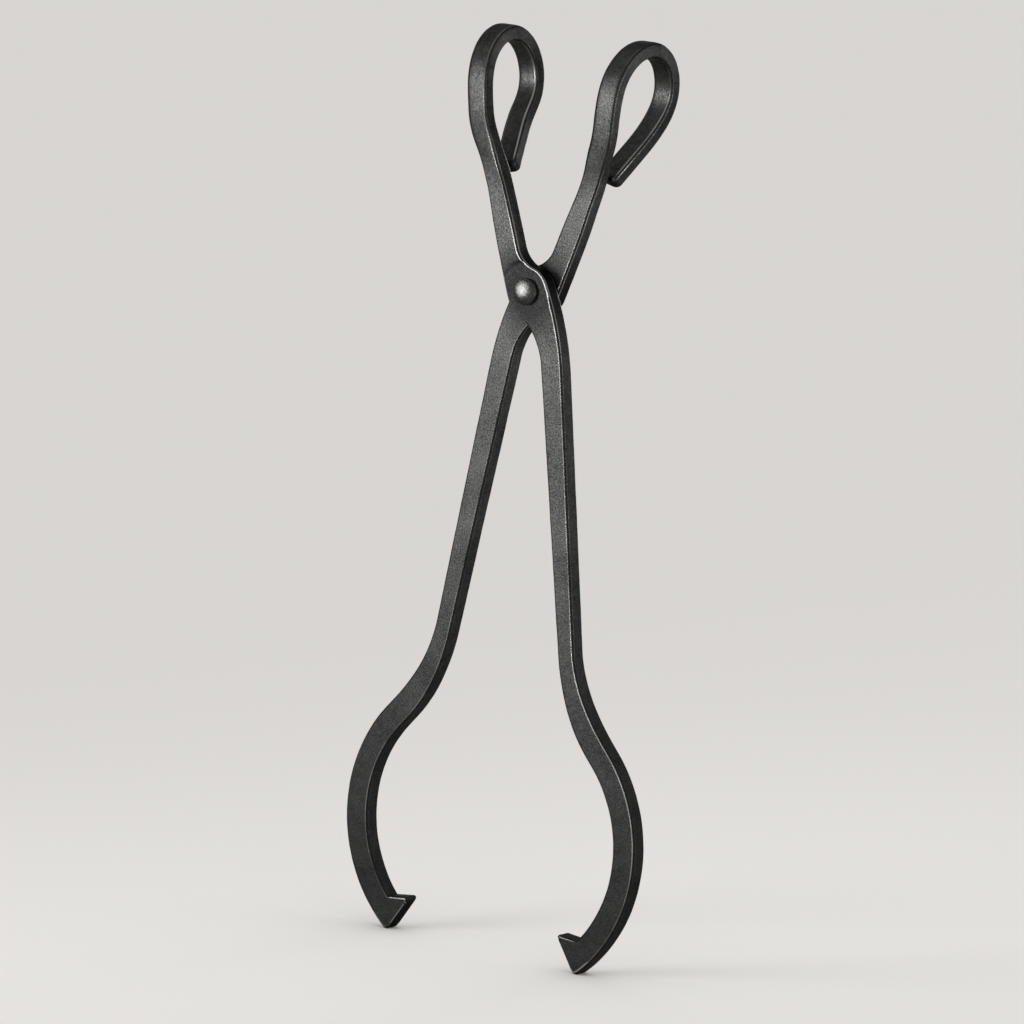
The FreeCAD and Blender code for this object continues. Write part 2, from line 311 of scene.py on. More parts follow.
def eye_edges():
    """The two edges of the bar from the root of the rein, round the eye, down to the shoulder."""
    rein_up = -down_the_lean(rein_lean)
    rein_right = across_the_lean(rein_lean)
    rein_inner = rein_right * (rein_width - eye_radius)
    upper = round_to_eye(rein_inner, rein_up, rein_right, upper_crotch_radius, False)
    upper_touch = upper - rein_right * upper_crotch_radius
    root = upper_touch.dot(rein_up) + edge_bevel

    outer_top, outer_foot = shank_edge(1)
    outer_down = (outer_foot - outer_top).normalized()
    outward = Vector((-outer_down.y, outer_down.x))
    sweep = round_to_eye(outer_top, outer_down, outward, outer_sweep_radius, True)
    inner_top, inner_foot = shank_edge(-1)
    inner_down = (inner_foot - inner_top).normalized()
    inward = Vector((inner_down.y, -inner_down.x))
    lower = round_to_eye(inner_top, inner_down, inward, lower_crotch_radius, False)

    eye = Vector((0, 0))
    upper_eye = upper.normalized() * eye_radius
    sweep_eye = -sweep.normalized() * eye_radius
    lower_eye = lower.normalized() * eye_radius
    step = eye_row_spacing
    right = [rein_inner + rein_up * root]
    right += arc(upper, upper_touch, upper_eye, step)
    right += arc(eye, upper_eye, sweep_eye, step)[1:]
    right += arc(sweep, sweep_eye, sweep + outward * outer_sweep_radius, step)[1:]
    right.append(outer_foot)
    left = [rein_right * -eye_radius + rein_up * root]
    left += arc(eye, rein_right * -eye_radius, lower_eye, step)
    left += arc(lower, lower_eye, lower - inward * lower_crotch_radius, step)[1:]
    left.append(inner_foot)
    return left, right


def jaw_edges():
    """The two edges of shoulder and jaw, the ledge of the barb and the rounded heel."""
    start = across_the_lean(shank_lean) * shank_offset + down_the_lean(shank_lean) * shoulder_drop
    bend = start + across_the_lean(shank_lean) * shoulder_radius
    bend_end = bend - across_the_lean(shoulder_angle) * shoulder_radius
    curve_start = bend_end + down_the_lean(shoulder_angle) * shoulder_run
    centre = curve_start - across_the_lean(shoulder_angle) * jaw_radius
    inner_radius = jaw_radius - jaw_width / 2
    outer_radius = jaw_radius + jaw_width / 2

    lean = math.radians(barb_face_lean)
    face = Vector((-math.sin(lean), math.cos(lean)))
    into_jaw = Vector((math.cos(lean), math.sin(lean)))
    heel = centre + across_the_lean(shoulder_angle - jaw_turn) * outer_radius
    point = heel + face * barb_face
    rise = math.radians(barb_rise)
    root = meets_circle(point, Vector((math.cos(rise), -math.sin(rise))), centre, inner_radius)
    round_centre = meets_circle(heel + into_jaw * heel_round, -face, centre, outer_radius - heel_round)
    on_curve = round_centre + (round_centre - centre).normalized() * heel_round
    on_face = round_centre - into_jaw * heel_round

    shoulder_steps = round(shoulder_radius * math.radians(shoulder_angle - shank_lean) / row_spacing)
    left, right = [], []
    for step in range(1, shoulder_steps + 1):
        share = step / shoulder_steps
        out = across_the_lean(shank_lean + (shoulder_angle - shank_lean) * share)
        half = (shank_width + (jaw_width - shank_width) * ease(share, 0, 1)) / 2
        left.append(bend - out * (shoulder_radius + half))
        right.append(bend - out * (shoulder_radius - half))
    out = across_the_lean(shoulder_angle)
    root_angle = math.degrees(math.atan2(root.y - centre.y, root.x - centre.x))
    across_root = centre + across_the_lean(root_angle) * outer_radius
    left_curve = arc(centre, centre + out * inner_radius, root, row_spacing)
    right_curve = arc(centre, centre + out * outer_radius, across_root, row_spacing)
    for step in range(len(right_curve)):
        share = step / (len(right_curve) - 1)
        left.append(along_edge(left_curve, share))
        right.append(right_curve[step])
    along_ledge = (root - point).normalized()
    half_point = along_ledge.angle(-face) / 2
    inside_point = point + (along_ledge - face).normalized() * (point_round / math.sin(half_point))
    point_reach = point_round / math.tan(half_point)
    point_start = point + along_ledge * point_reach
    point_end = point - face * point_reach
    ledge = [root] + arc(inside_point, point_start, point_end, round_spacing)
    heel_edge = arc(centre, across_root, on_curve, row_spacing)
    heel_edge += arc(round_centre, on_curve, on_face, round_spacing)[1:]
    ledge_steps = round((point - root).length / ledge_row_spacing)
    for step in range(1, ledge_steps + 1):
        share = step / ledge_steps
        left.append(along_edge(ledge, share))
        right.append(along_edge(heel_edge, share))
    return left, right


def flat_rows():
    """Rows of the flat forging from the root of the rein to the cut face of the barb."""
    left_edge, right_edge = eye_edges()
    first = (left_edge[0] + right_edge[0]) / 2
    last = (left_edge[-1] + right_edge[-1]) / 2
    run = (last - first).length
    pairs = [(left_edge[0], right_edge[0])]
    travelled = 0.0
    while travelled < run - row_spacing:
        travelled += eye_row_spacing if travelled < neck_drop else row_spacing
        lean = rein_lean + (shank_lean - rein_lean) * ease(travelled, 0, neck_drop)
        origin = first.lerp(last, travelled / run)
        down = down_the_lean(lean)
        pairs.append((crossing(left_edge, origin, down), crossing(right_edge, origin, down)))
    pairs.append((left_edge[-1], right_edge[-1]))
    pairs += zip(*jaw_edges())
    rows = []
    for left, right in pairs:
        middle = (left + right) / 2
        over = (right - left).normalized()
        drop = -middle.y
        width = (right - left).length
        on_shank = ease(drop, shank_line_fade_start, shank_line_fade_full)
        on_jaw = ease(drop, shoulder_drop - jaw_rub_lead, shoulder_drop)
        on_jaw *= 1 - ease(drop, jaw_rub_fade, jaw_rub_end)
        on_barb = 0.0
        if drop > shoulder_drop:
            on_barb = ease(width, jaw_width + barb_rub_start, jaw_width + barb_rub_full)
        rows.append({
            "centre": Vector((middle.x, 0, middle.y)),
            "across": Vector((over.x, 0, over.y)),
            "through": Vector((0, 1, 0)),
            "half_width": width / 2,
            "half_thickness": bar_thickness / 2,
            "bevel": edge_bevel,
            "round": edge_round,
            "crown": 0.0,
            "face_rub_and_highlight": 1 - shank_line_fade * on_shank + jaw_rub_and_highlight * on_jaw + barb_rub_and_highlight * on_barb,
            "side_rub_and_highlight": 1 - side_line_fade * on_shank,
            "side_dark": 0.0,
            "inset": 0.0,
            "outer_trim": 0.0,
        })
    return rows


def handle_lean(root, height):
    """How far right of the rivet the handle's middle is at a height, and its slope to the left there."""
    lower = math.tan(math.radians(rein_lean))
    upper = math.tan(math.radians(loop_lean))
    tangent = lean_change_radius * math.tan(math.radians(rein_lean - loop_lean) / 2)
    corner = root.x - lower * (lean_change_height - root.y)
    low = lean_change_height - tangent * math.cos(math.radians(rein_lean))
    high = lean_change_height + tangent * math.cos(math.radians(loop_lean))
    if height <= low:
        return corner - lower * (height - lean_change_height), lower
    if height >= high:
        return corner - upper * (height - lean_change_height), upper
    rise = low + lean_change_radius * math.sin(math.radians(rein_lean)) - height
    run = math.sqrt(lean_change_radius ** 2 - rise ** 2)
    start = corner + tangent * math.sin(math.radians(rein_lean))
    return start + lean_change_radius * math.cos(math.radians(rein_lean)) - run, rise / run


def heading_at(length, stretches):
    """Heading of the handle at a length, as drawn, where bends and straights meet without easing."""
    heading = 0.0
    for run, turn in stretches:
        share = min(max(length / run, 0.0), 1.0)
        heading += math.radians(turn) * share
        length -= run
    return heading


def handle_walk(height, stretches, spacing):
    """Stations up the handle in the side view: back, height, heading and length, with eased bends."""
    full_length = sum(run for run, turn in stretches)
    back, length = 0.0, 0.0
    stations = []
    while length < full_length - walk_slack:
        left = full_length - length
        step = min(spacing if left > tail_round + spacing else tail_row_spacing, left)
        middle = length + step / 2
        offsets = [bend_ease * part / ease_parts for part in range(-ease_parts, ease_parts + 1)]
        heading = sum(heading_at(middle + offset, stretches) for offset in offsets) / len(offsets)
        back += step * math.sin(heading)
        height += step * math.cos(heading)
        length += step
        ahead = sum(heading_at(length + offset, stretches) for offset in offsets) / len(offsets)
        stations.append((back, height, ahead, length))
    return stations


def rounded_off(radius, from_end):
    """How far a rounded end stands back from the full bar at a distance from the end."""
    short = max(radius - from_end, 0.0)
    return radius - math.sqrt(radius ** 2 - short ** 2)


def handle_rows(root):
    """Rows of the handle from the root of the rein, round the loop, to the tail."""
    rein_run = throat_height - root.y
    stretches = [(rein_run, 0.0)]
    bends = (
        (throat_radius, -throat_bend),
        (front_leg_radius, throat_bend),
        (loop_radius, loop_turn),
        (back_radius, back_bend),
    )
    for radius, turn in bends:
        stretches.append((radius * math.radians(abs(turn)), turn))
    turned = handle_walk(root.y, stretches, row_spacing)[-1][0]
    tail_back = bar_thickness / 2 + tail_gap + loop_thickness / 2 * math.cos(math.radians(back_bend))
    stretches.append(((turned - tail_back) / math.sin(math.radians(back_bend)), 0.0))
    stations = handle_walk(root.y, stretches, row_spacing)
    full_length = stations[-1][3]
    rows = []
    for back, height, heading, length in stations:
        middle, slope = handle_lean(root, height)
        travel = Vector((-slope * math.cos(heading), math.sin(heading), math.cos(heading))).normalized()
        across = (Vector((1, 0, 0)) - travel * travel.x).normalized()
        thin = ease(length, rein_run, rein_run + thinning_run)
        to_end = max(full_length - length, 0.0)
        sidestep = loop_sidestep * ease(length, full_length * sidestep_start, full_length * sidestep_end)
        inward = loop_inward * thin - sidestep
        on_rein = ease(height, rein_line_fade_start, rein_line_fade_full)
        on_loop = ease(height, loop_line_fade_start, loop_line_fade_full)
        on_tail = ease(length, full_length * tail_start, full_length * tail_full)
        waist = ease(length, waist_start, rein_run)
        waist *= 1 - ease(length, rein_run + waist_hold, rein_run + waist_end)
        width = rein_width + (loop_width - rein_width) * ease(length, 0, rein_run) - throat_waist * waist
        rows.append({
            "centre": Vector((middle + inward + waist_inward * waist, back, height)),
            "across": across,
            "through": travel.cross(across),
            "half_width": width / 2,
            "half_thickness": (bar_thickness + (loop_thickness - bar_thickness) * thin) / 2,
            "bevel": edge_bevel + (loop_bevel - edge_bevel) * thin,
            "round": edge_round + (loop_edge_round - edge_round) * thin,
            "crown": loop_crown * thin,
            "face_rub_and_highlight": 1 - rein_line_fade * on_rein - loop_line_fade * on_loop + tail_rub_and_highlight * on_tail,
            "side_rub_and_highlight": 1 - side_line_fade * ease(height, neck_drop, neck_drop * side_line_fade_run),
            # the tail's sides are darkened with painted shade
            "side_dark": tail_side_painted_shade * on_tail,
            "inset": rounded_off(tail_end_round, to_end),
            "outer_trim": rounded_off(tail_round, to_end),
        })
    return rows


def seat_sink(row, across):
    """Depth to which the flattened seat round the rivet cuts into the bar at a place across a row."""
    place = row["centre"] + row["across"] * across
    from_rivet = math.hypot(place.x, place.z)
    slope = seat_slope + (seat_run_out - seat_slope) * ease(-place.z, -seat_radius / 2, seat_radius / 2)
    return seat_depth * (1 - ease(from_rivet, seat_radius - slope, seat_radius))


def bar_section(row, inset, seat_side):
    """Points round the bevelled section of a row with rounded borders, each with its rub and painted
    highlight, and its painted shade.
    """
    wide = row["half_width"] - inset
    thick = row["half_thickness"] - inset
    bevel = max(row["bevel"] - inset / 2, least_bevel)
    left_sink = seat_sink(row, -wide)
    right_sink = seat_sink(row, wide)
    front = 1 if seat_side < 0 else 0
    back = 1 - front
    corners = [
        Vector((bevel - wide - front * left_sink, front * left_sink - thick)),
        Vector((wide - bevel + front * right_sink, front * right_sink - thick)),
        Vector((wide, bevel - thick)),
        Vector((wide, thick - bevel)),
        Vector((wide - bevel + back * right_sink, thick - back * right_sink)),
        Vector((bevel - wide - back * left_sink, thick - back * left_sink)),
        Vector((-wide, thick - bevel)),
        Vector((-wide, bevel - thick)),
    ]
    between = [face_points, bevel_points, side_points, bevel_points]
    reach = row["round"] * math.tan(math.radians(half_bevel_turn))
    reach = min(reach, bevel * border_bevel_share, (thick - bevel) * border_side_share)
    section = []
    for place, corner in enumerate(corners):
        before = (corners[place - 1] - corner).normalized()
        following = corners[(place + 1) % len(corners)]
        after = (following - corner).normalized()
        start = corner + before * reach
        end = corner + after * reach
        # the first two corners of either half border a face of the bar, the other two a side
        rub_and_highlight = row["face_rub_and_highlight"] if place % 4 < 2 else row["side_rub_and_highlight"]
        section.append((start, border_rub_and_highlight * rub_and_highlight, 0.0))
        section.append((((start + end) / 2).lerp(corner, border_fullness), rub_and_highlight, 0.0))
        section.append((end, border_rub_and_highlight * rub_and_highlight, 0.0))
        next_start = following - after * reach
        count = between[place % 4]
        # the bevels, and the tail's sides, are darkened with painted shade
        shade_and_darkening = (0.0, bevel_painted_shade, row["side_dark"], bevel_painted_shade)[place % 4]
        for step in range(1, count + 1):
            section.append((end.lerp(next_start, step / (count + 1)), 0.0, shade_and_darkening))
    crowned = []
    for offset, worn, shade_and_darkening in section:
        crown = row["crown"] * thick / row["half_thickness"]
        fall = crown * (offset.x / wide) ** crown_power * ease(abs(offset.y), thick - bevel, thick)
        crowned.append((Vector((offset.x, offset.y - math.copysign(fall, offset.y))), worn, shade_and_darkening))
    return crowned


def solid_piece(name, verts, faces, shares):
    """A smooth piece from its points and faces, with named shares kept at its points."""
    mesh = bpy.data.meshes.new(name)
    mesh.from_pydata(verts, [], faces)
    mesh.polygons.foreach_set("use_smooth", [True] * len(mesh.polygons))
    for share_name, values in shares.items():
        mesh.attributes.new(share_name, "FLOAT", "POINT").data.foreach_set("value", values)
    mesh.validate()
    piece = bpy.data.objects.new(name, mesh)
    bpy.context.scene.collection.objects.link(piece)
    return piece


def forged_arm(name, rows, mirror, seat_side, arm_rub_and_highlight):
    """One arm from rows of bevelled sections, closed at the tail's end and at the cut face of the barb."""
    stack = seat_side * (bar_thickness + arm_gap) / 2
    verts, rub_and_highlight, shade_and_darkening = [], [], []
    first, last = rows[0], rows[-1]
    cut_out = last["across"].cross(last["through"])
    if cut_out.dot(last["centre"] - rows[-2]["centre"]) < 0:
        cut_out = -cut_out

    def add_ring(row, inset, sink=0.0, rub_highlight_share=0.0, dark=0.0):
        """Adds the points of one ring, with their rub and painted highlight, and their painted shade and
        darkening.
        """
        along = row["across"].cross(row["through"])
        for offset, worn, darkened in bar_section(row, inset, seat_side):
            seat = row["half_thickness"] - seat_sink(row, offset.x)
            through = min(offset.y, seat) if seat_side > 0 else max(offset.y, -seat)
            through = max(through, row["outer_trim"] - row["half_thickness"])
            place = row["centre"] + row["across"] * offset.x + row["through"] * through
            if sink > 0:
                # the rounded border of the cut face runs along the two faces of the bar
                full = row["half_thickness"] - inset
                on_face = ease(abs(offset.y), full - row["bevel"], full)
                behind = (last["centre"] - place).dot(cut_out)
                place -= cut_out * max(sink * on_face - behind, 0.0)
            # the hammer leaves the faces a little uneven, mostly below the drawn ones
            dent = noise.noise(place * broad_dents + Vector((seat_side * dent_shift, 0, 0)))
            dent += fine_dent_share * noise.noise(place * fine_dents)
            inner = row["centre"] - place
            inner -= along * inner.dot(along)
            place += inner.normalized() * dent_depth * (1 + dent)
            place = Vector((place.x * mirror, place.y + stack, place.z))
            verts.append(place * millimetre + pivot)
            # the right-hand edges get a brighter painted highlight over their rubbed steel than the
            # left-hand ones
            side = arm_rub_and_highlight if offset.x * mirror > 0 else left_edge_rub_and_highlight
            along_cut = rub_highlight_share if abs(offset.x) < row["half_width"] * cut_rub_share else 0.0
            from_tail = (row["centre"] - first["centre"]).length
            edge_line = worn * side * ease(from_tail, tail_wear_start, tail_wear_full)
            rub_and_highlight.append(max(edge_line, along_cut))
            # darker round the rivet
            near_rivet = 1 - ease(math.hypot(place.x, place.z), eye_radius, darkening_reach)
            # darker towards the jaws' tips, less on the sides
            on_side = abs(offset.x) > row["half_width"] - edge_bevel / 2
            jaw_darkening_share = jaw_side_darkening if on_side else jaw_darkening
            toward_jaw_tip = jaw_darkening_share * ease(-place.z, jaw_darkening_start, jaw_darkening_full)
            shade_and_darkening.append(max(near_rivet, toward_jaw_tip, darkened, dark))

    for inset in tail_insets:
        add_ring(first, first["inset"] + inset)
    for row in rows[:-1 - border_rows]:
        add_ring(row, row["inset"])
    for to_cut in range(border_rows, 0, -1):
        add_ring(rows[-1 - to_cut], 0.0, barb_end_round + border_step * to_cut)
    # the cut face's border carries a light line of rubbed steel and painted highlight
    for inset, sink, rub_highlight_share in cut_border:
        add_ring(last, inset * barb_end_round, sink * barb_end_round, rub_highlight_share)
    for inset in cut_insets:
        # the cut face is darkened with painted shade
        add_ring(last, inset * barb_end_round, dark=cut_face_painted_shade)

    count = len(bar_section(first, 0.0, seat_side))
    rings = len(verts) // count
    faces = []
    for ring in range(rings - 1):
        near = ring * count
        far = near + count
        for step in range(count):
            following = (step + 1) % count
            quad = (near + step, near + following, far + following, far + step)
            faces.append(quad[::-1] if mirror > 0 else quad)
    tail_end = tuple(range(count))
    cut_end = tuple(range((rings - 1) * count, rings * count))
    faces += [tail_end, cut_end[::-1]] if mirror > 0 else [tail_end[::-1], cut_end]
    return solid_piece(name, verts, faces, {"edge_rub_and_highlight": rub_and_highlight, "shade_and_darkening": shade_and_darkening})


def grain(tree, scale, detail, roughness):
    """Grain of the steel, drawn on the piece's own coordinates."""
    place = tree.nodes.new("ShaderNodeTexCoord")
    texture = tree.nodes.new("ShaderNodeTexNoise")
    texture.inputs["Scale"].default_value = scale
    texture.inputs["Detail"].default_value = detail
    texture.inputs["Roughness"].default_value = roughness
    tree.links.new(place.outputs["Object"], texture.inputs["Vector"])
    return texture.outputs["Fac"]


def share_at_points(tree, name):
    """A share that is kept at the points of the piece."""
    share = tree.nodes.new("ShaderNodeAttribute")
    share.attribute_name = name
    return share.outputs["Fac"]


def spread(tree, value, taken, given):
    """A value taken from one range and spread over another."""
    band = tree.nodes.new("ShaderNodeMapRange")
    tree.links.new(value, band.inputs["Value"])
    band.inputs["From Min"].default_value = taken[0]
    band.inputs["From Max"].default_value = taken[1]
    band.inputs["To Min"].default_value = given[0]
    band.inputs["To Max"].default_value = given[1]
    return band.outputs["Result"]


def combine(tree, operation, first, second):
    """Two values added, subtracted or multiplied."""
    result = tree.nodes.new("ShaderNodeMath")
    result.operation = operation
    tree.links.new(first, result.inputs[0])
    tree.links.new(second, result.inputs[1])
    return result.outputs["Value"]


def shaded(tree, value, dark, light, dark_end, light_end):
    """Colour that goes from dark to light as a value goes from one end to the other."""
    ramp = tree.nodes.new("ShaderNodeValToRGB")
    ramp.color_ramp.elements[0].position = dark_end
    ramp.color_ramp.elements[0].color = dark
    ramp.color_ramp.elements[1].position = light_end
    ramp.color_ramp.elements[1].color = light
    tree.links.new(value, ramp.inputs["Fac"])
    return ramp.outputs["Color"]


def covered(tree, under, amount, colour):
    """A colour laid over the one under it, by an amount."""
    cover = tree.nodes.new("ShaderNodeMix")
    cover.data_type = "RGBA"
    tree.links.new(amount, cover.inputs["Factor"])
    tree.links.new(under, cover.inputs["A"])
    cover.inputs["B"].default_value = colour
    return cover.outputs["Result"]


def blackened_steel(name):
    """Fire-blackened, waxed steel: near black with a fine grain, darkened further with painted shade and
    darkening, and bare metal with painted highlight along the rubbed edges.
    """
    material = bpy.data.materials.new(name)
    material.use_nodes = True
    tree = material.node_tree
    shader = tree.nodes["Principled BSDF"]
    speckle = grain(tree, scale=1000.0, detail=2.0, roughness=0.55)
    scale_skin = grain(tree, scale=260.0, detail=4.0, roughness=0.6)
    cloud = grain(tree, scale=45.0, detail=3.0, roughness=0.55)

    speckle_tone = spread(tree, speckle, grain_range, speckle_tones)
    skin_tone = spread(tree, scale_skin, grain_range, skin_tones)
    tone = combine(tree, "ADD", speckle_tone, skin_tone)
    tone = combine(tree, "ADD", tone, spread(tree, cloud, grain_range, cloud_tones))
    skin = shaded(tree, tone, skin_dark, skin_light, skin_dark_end, skin_light_end)
    cloudy_darkening = spread(tree, cloud, darkening_clouds, darkening_cover)
    darkening_share = combine(tree, "MULTIPLY", share_at_points(tree, "shade_and_darkening"), cloudy_darkening)
    dark = covered(tree, skin, darkening_share, darkening_black)
    cloudy_rub_and_highlight = spread(tree, cloud, rub_clouds, rub_cover)
    rub_highlight_share = combine(tree, "MULTIPLY", share_at_points(tree, "edge_rub_and_highlight"), cloudy_rub_and_highlight)
    rub_highlight_share = spread(tree, rub_highlight_share, rub_border, whole_range)
    tree.links.new(covered(tree, dark, rub_highlight_share, bare_steel_and_highlight), shader.inputs["Base Color"])
    shader.inputs["Metallic"].default_value = 1.0
    shader.inputs["Specular Tint"].default_value = steel_edge_tint

    speckle_rough = spread(tree, speckle, grain_range, speckle_roughness)
    skin_rough = spread(tree, scale_skin, grain_range, skin_roughness)
    rough = combine(tree, "ADD", speckle_rough, skin_rough)
    rough = combine(tree, "SUBTRACT", rough, spread(tree, rub_highlight_share, whole_range, rub_smoothing))
    tree.links.new(rough, shader.inputs["Roughness"])

    speckle_height = spread(tree, speckle, whole_range, speckle_relief)
    skin_height = spread(tree, scale_skin, whole_range, skin_relief)
    bump = tree.nodes.new("ShaderNodeBump")
    bump.inputs["Distance"].default_value = relief_depth
    tree.links.new(spread(tree, rub_highlight_share, whole_range, relief_strength), bump.inputs["Strength"])
    tree.links.new(combine(tree, "ADD", speckle_height, skin_height), bump.inputs["Height"])
    tree.links.new(bump.outputs["Normal"], shader.inputs["Normal"])
    return material


flat_part = flat_rows()
rein_root = flat_part[0]["centre"]
handle_part = handle_rows(Vector((rein_root.x, rein_root.z)))
arm_rows = handle_part[::-1] + flat_part
front_arm = forged_arm("forged_front_arm", arm_rows, mirror=1, seat_side=-1, arm_rub_and_highlight=front_arm_rub_and_highlight)
front_arm.data.materials.append(blackened_steel("blackened_steel"))
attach(front_arm, "front")
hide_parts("front_arm")

# Rear arm
# The mirror image of the front arm, forged from the same stock and blackened with it.
# It lies face to face behind the front arm and turns on the rivet, so its flattened seat is at the back.

# the rear arm's edges carry a weaker painted highlight than the front arm's
rear_arm_rub_and_highlight = 0.7

rear_arm = forged_arm("forged_rear_arm", arm_rows, mirror=-1, seat_side=1, arm_rub_and_highlight=rear_arm_rub_and_highlight)
rear_arm.data.materials.append(front_arm.data.materials[0])
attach(rear_arm, "rear")
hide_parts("rear_arm")

# Pivot rivet
# A solid steel rivet, closed hot over both arms, with a full domed head in front and a lower one behind.
# Handling has rubbed it to bare grey metal on the crown, with a painted highlight laid on its upper left,
# and painted shade darkens it round its rim.

# Sizes in millimetres, and the rounded rim as shares of the head's radius and of the rim's height
rivet_radius = 4.75
head_radius = 8.1
head_height = 5.6
head_rim = 2.0
rim_profile = ((0.97, 0.0), (0.99, 0.35), (1.0, 0.75))
tail_head_radius = 7.5
tail_head_height = 4.2
tail_play = 0.25
crown_flat = 0.2
rivet_sides = 72
dome_steps = 18

# Hammer marks on the heads, and the rubbed spot with its painted highlight, placed up and to the left, with
# its reach as shares of the head's radius
hammer_marks = 0.28
mark_depth = 0.16
mark_fade = 0.6
rub_highlight_across = -0.9
rub_highlight_up = 1.8
rub_bright = 0.2
rub_end = 0.85

# Colours and finish of the rivet: painted shade at the dark end round the rim, rubbed steel with painted
# highlight at the light end on the crown
rivet_dark = (0.025, 0.025, 0.0247, 1)
rivet_light = (0.24, 0.24, 0.2376, 1)
rivet_dark_end = 0.1
rivet_light_end = 1.0
rivet_edge_tint = (0.5, 0.5, 0.5, 1)
rivet_speckle = (-0.3, 0.3)
rivet_roughness = (0.52, 0.7)
rivet_relief_strength = 0.8
rivet_relief_depth = 0.0004


def dome_profile(radius, height):
    """Radius and height of a domed head from its foot, over its rounded rim, to the crown."""
    rise = height - head_rim
    sphere = (radius ** 2 + rise ** 2) / (2 * rise)
    half = math.asin(radius / sphere)
    profile = [(radius * across, head_rim * up) for across, up in rim_profile]
    for step in range(dome_steps):
        angle = half * (1 - step / dome_steps)
        profile.append((sphere * math.sin(angle), height - sphere * (1 - math.cos(angle))))
    return profile


def rivet_piece(name):
    """The rivet turned about its axis, with a few soft hammer marks on both heads."""
    front_seat = -(bar_thickness + arm_gap / 2 - seat_depth)
    back_seat = -front_seat + tail_play
    head = dome_profile(head_radius, head_height)
    tail = dome_profile(tail_head_radius, tail_head_height)
    profile = [(radius, front_seat - height) for radius, height in reversed(head)]
    profile += [(rivet_radius, front_seat), (rivet_radius, back_seat)]
    profile += [(radius, back_seat + height) for radius, height in tail]
    verts, rub_and_highlight = [], []
    for radius, depth in profile:
        for side in range(rivet_sides):
            angle = 2 * math.pi * side / rivet_sides
            place = Vector((radius * math.cos(angle), depth, radius * math.sin(angle)))
            mark = noise.noise(place * hammer_marks)
            faded = 1 - radius / head_radius * mark_fade
            place.y -= math.copysign(mark_depth * (1 + mark), depth) * faded
            verts.append(place * millimetre + pivot)
            from_rub = math.hypot(place.x - rub_highlight_across, place.z - rub_highlight_up)
            rub_and_highlight.append(1 - ease(from_rub, head_radius * rub_bright, head_radius * rub_end))
    crown_front = Vector((0, front_seat - head_height + crown_flat, 0))
    crown_back = Vector((0, back_seat + tail_head_height - crown_flat, 0))
    verts += [crown_front * millimetre + pivot, crown_back * millimetre + pivot]
    rub_and_highlight += [1.0, 1.0]
    faces = []
    for ring in range(len(profile) - 1):
        near = ring * rivet_sides
        far = near + rivet_sides
        for side in range(rivet_sides):
            following = (side + 1) % rivet_sides
            faces.append((near + side, far + side, far + following, near + following))
    last = (len(profile) - 1) * rivet_sides
    for side in range(rivet_sides):
        following = (side + 1) % rivet_sides
        faces.append((len(verts) - 2, side, following))
        faces.append((len(verts) - 1, last + following, last + side))
    return solid_piece(name, verts, faces, {"crown_rub_and_highlight": rub_and_highlight})


def worn_steel(name):
    """Grey steel, rubbed bright on the crown with a painted highlight there, and darker towards the rim
    with painted shade.
    """
    material = bpy.data.materials.new(name)
    material.use_nodes = True
    tree = material.node_tree
    shader = tree.nodes["Principled BSDF"]
    speckle = grain(tree, scale=850.0, detail=4.0, roughness=0.5)
    speckle_tone = spread(tree, speckle, grain_range, rivet_speckle)
    tone = combine(tree, "ADD", speckle_tone, share_at_points(tree, "crown_rub_and_highlight"))
    metal = shaded(tree, tone, rivet_dark, rivet_light, rivet_dark_end, rivet_light_end)
    tree.links.new(metal, shader.inputs["Base Color"])
    rough = spread(tree, speckle, whole_range, rivet_roughness)
    tree.links.new(rough, shader.inputs["Roughness"])
    shader.inputs["Metallic"].default_value = 1.0
    shader.inputs["Specular Tint"].default_value = rivet_edge_tint
    bump = tree.nodes.new("ShaderNodeBump")
    bump.inputs["Strength"].default_value = rivet_relief_strength
    bump.inputs["Distance"].default_value = rivet_relief_depth
    tree.links.new(speckle, bump.inputs["Height"])
    tree.links.new(bump.outputs["Normal"], shader.inputs["Normal"])
    return material


rivet = rivet_piece("domed_rivet")
rivet.data.materials.append(worn_steel("worn_steel"))
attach(rivet, "front")
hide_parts("pivot_rivet")

# Floor
# A wide sheet of pale grey paper, lit evenly, that the tongs stand on.
# It reaches so far that it fills the picture behind them.

floor_reach = 60.0
paper_shade = (0.77, 0.76, 0.752, 1)
paper_light = (0.79, 0.78, 0.772, 1)
paper_roughness = 0.9
paper_gloss = 0.1
fibre_scale = 3.0
fibre_detail = 3.0

floor_mesh = bpy.data.meshes.new("paper_floor")
floor_corners = [
    (-floor_reach, -floor_reach, 0),
    (floor_reach, -floor_reach, 0),
    (floor_reach, floor_reach, 0),
    (-floor_reach, floor_reach, 0),
]
floor_mesh.from_pydata(floor_corners, [], [(0, 1, 2, 3)])
floor = bpy.data.objects.new("paper_floor", floor_mesh)
bpy.context.scene.collection.objects.link(floor)
paper = bpy.data.materials.new("pale_paper")
paper.use_nodes = True
paper_shader = paper.node_tree.nodes["Principled BSDF"]
paper_shader.inputs["Roughness"].default_value = paper_roughness
paper_shader.inputs["Specular IOR Level"].default_value = paper_gloss
paper_fibre = paper.node_tree.nodes.new("ShaderNodeTexNoise")
paper_fibre.inputs["Scale"].default_value = fibre_scale
paper_fibre.inputs["Detail"].default_value = fibre_detail
paper_tint = shaded(paper.node_tree, paper_fibre.outputs["Fac"], paper_shade, paper_light, 0.0, 1.0)
paper.node_tree.links.new(paper_tint, paper_shader.inputs["Base Color"])
floor_mesh.materials.append(paper)

# Light
# Two soft lamps, in front on the left and behind, and two narrow upright ones, in front and at the right.
# Grids narrow the light of all four, and the pale surround is brighter overhead.

